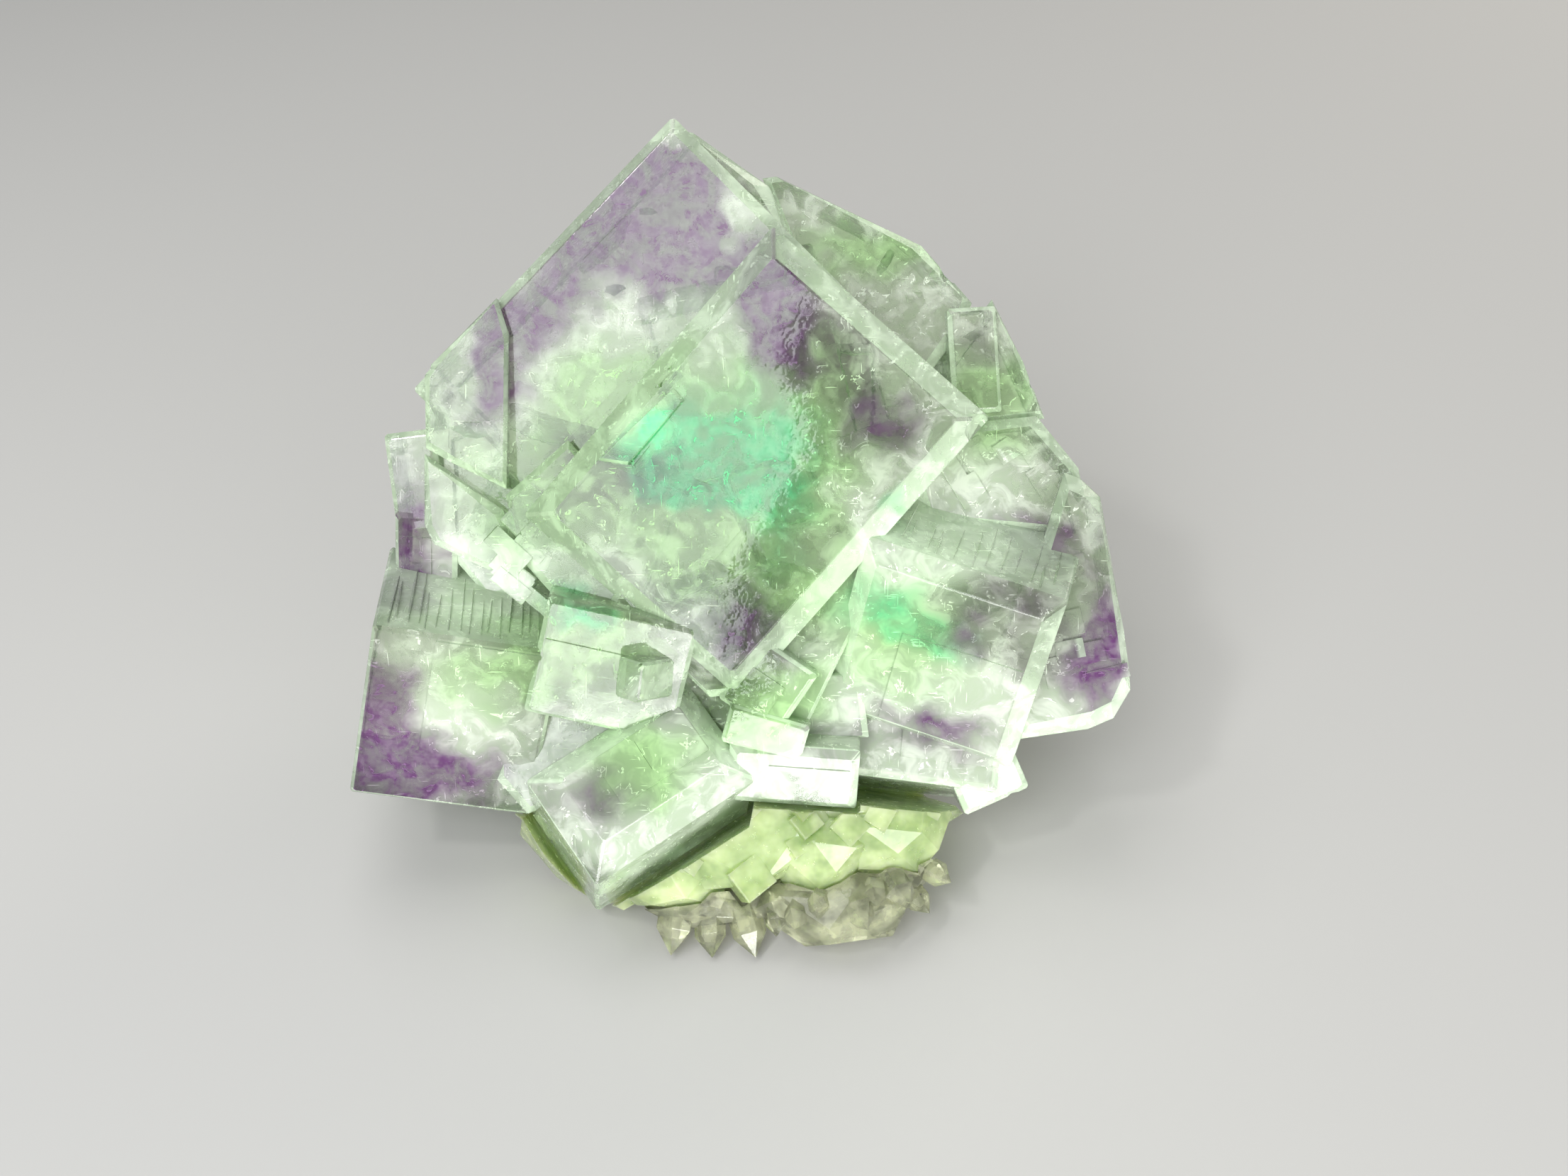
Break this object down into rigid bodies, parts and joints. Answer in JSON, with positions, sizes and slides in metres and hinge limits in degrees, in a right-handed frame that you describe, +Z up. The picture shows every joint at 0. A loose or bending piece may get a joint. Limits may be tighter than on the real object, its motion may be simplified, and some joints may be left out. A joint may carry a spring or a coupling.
{
  "type": "fluorite crystal specimen",
  "caption": "Glassy green and purple fluorite cubes grown through one another, on a yellow-green fluorite base with a foot of small quartz points.",
  "frame": {"origin": "middle of the specimen's bounding box, on the plane that it rests on", "axes": "+Z up, -Y towards the show side with the large crystal faces, +X along the specimen's width"},
  "size_m": [0.0692, 0.0608, 0.0573],
  "materials": {
    "zoned_fluorite": "clear crystal, etched in places",
    "milky_fluorite": "milky, broken and etched",
    "quartz": "clear to milky crystal"
  },
  "bodies": {
    "root": {"fluorite_crystals": "zoned_fluorite", "fluorite_base": "milky_fluorite", "quartz_points": "quartz"}
  },
  "joints": []
}
